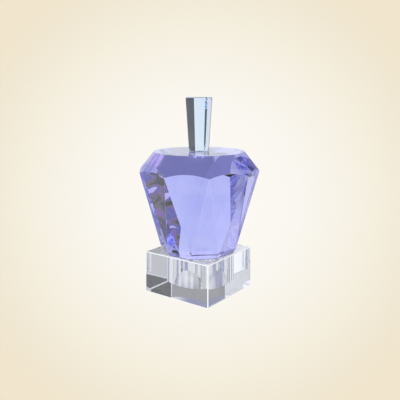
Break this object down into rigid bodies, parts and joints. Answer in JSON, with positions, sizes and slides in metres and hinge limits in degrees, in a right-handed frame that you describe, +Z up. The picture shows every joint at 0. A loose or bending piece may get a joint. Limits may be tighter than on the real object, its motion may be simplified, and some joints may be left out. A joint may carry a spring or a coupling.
{
  "type": "perfume bottle",
  "caption": "Faceted crystal perfume bottle, nine-sided with triangular facets, on a clear square block with a round well, with a six-sided stopper that lifts out and turns.",
  "frame": {"origin": "centre of the base block's underside", "axes": "+Z up along the bottle's axis, X and Y along the sides of the square block"},
  "size_m": [0.079, 0.079, 0.1271],
  "materials": {
    "clear_crystal": "polished",
    "violet_crystal": "polished",
    "stopper_crystal": "polished",
    "rod_glass": "polished",
    "bond": "clear cured adhesive",
    "liner_plastic": "clear polyethylene",
    "plug_plastic": "milky polyethylene",
    "seal_rubber": "translucent silicone"
  },
  "bodies": {
    "bottle": {"base_block": "clear_crystal", "body_bond": "bond", "bottle_body": "violet_crystal", "neck_liner": "liner_plastic"},
    "seal": {"seal_ring": "seal_rubber"},
    "stopper": {"stopper_handle": "stopper_crystal", "handle_glue": "bond", "stopper_plug": "plug_plastic", "dauber_rod": "rod_glass"}
  },
  "joints": [
    {"name": "stopper_lift", "type": "slide", "parent": "bottle", "child": "seal", "axis": [0, 0, 1], "range_m": [0, 0.02]},
    {"name": "stopper_twist", "type": "hinge", "parent": "seal", "child": "stopper", "pos_m": [0, 0, 0.0878], "axis": [0, 0, 1], "continuous": true}
  ]
}
